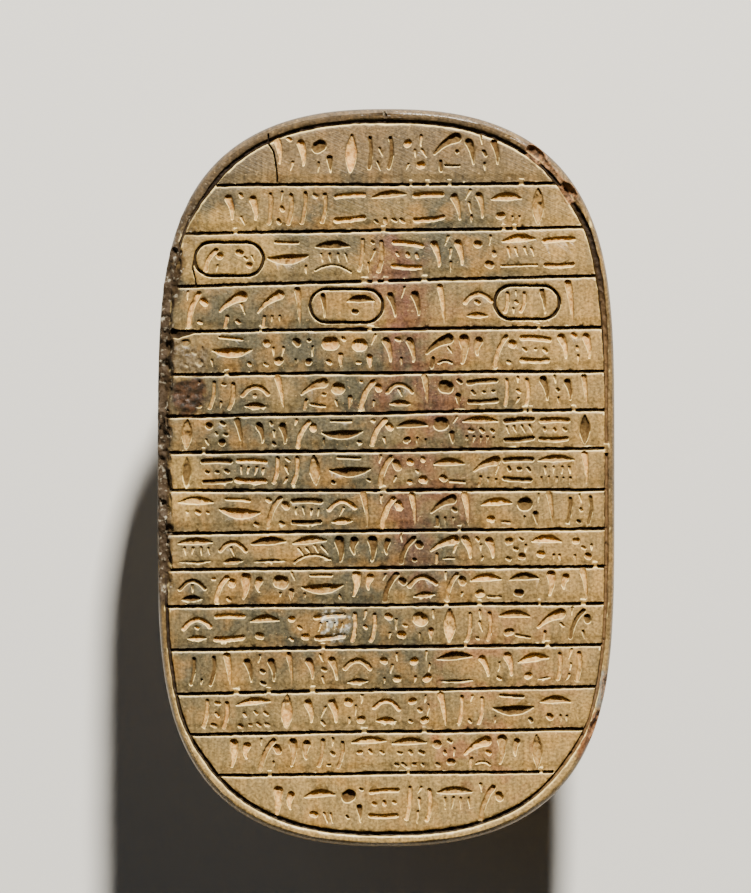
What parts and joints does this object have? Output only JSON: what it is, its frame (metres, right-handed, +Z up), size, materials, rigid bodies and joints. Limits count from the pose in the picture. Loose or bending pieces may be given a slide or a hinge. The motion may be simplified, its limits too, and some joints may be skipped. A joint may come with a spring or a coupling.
{
  "type": "scarab amulet",
  "caption": "Large carved steatite scarab lying on its back, its flat oval base ruled and cut with rows of strokes, drilled lengthwise for threading.",
  "frame": {"origin": "under the middle of the scarab, on the surface that it lies on", "axes": "+Y along the scarab to its head, +Z up out of the inscribed base, +X to the right of someone reading the base with the head end up"},
  "size_m": [0.0682, 0.11, 0.039],
  "materials": {
    "steatite": "worn polished steatite, tan to olive grey, with red-brown stains, chips and pale fill in the cuts"
  },
  "bodies": {
    "root": {"scarab": "steatite"}
  },
  "joints": []
}
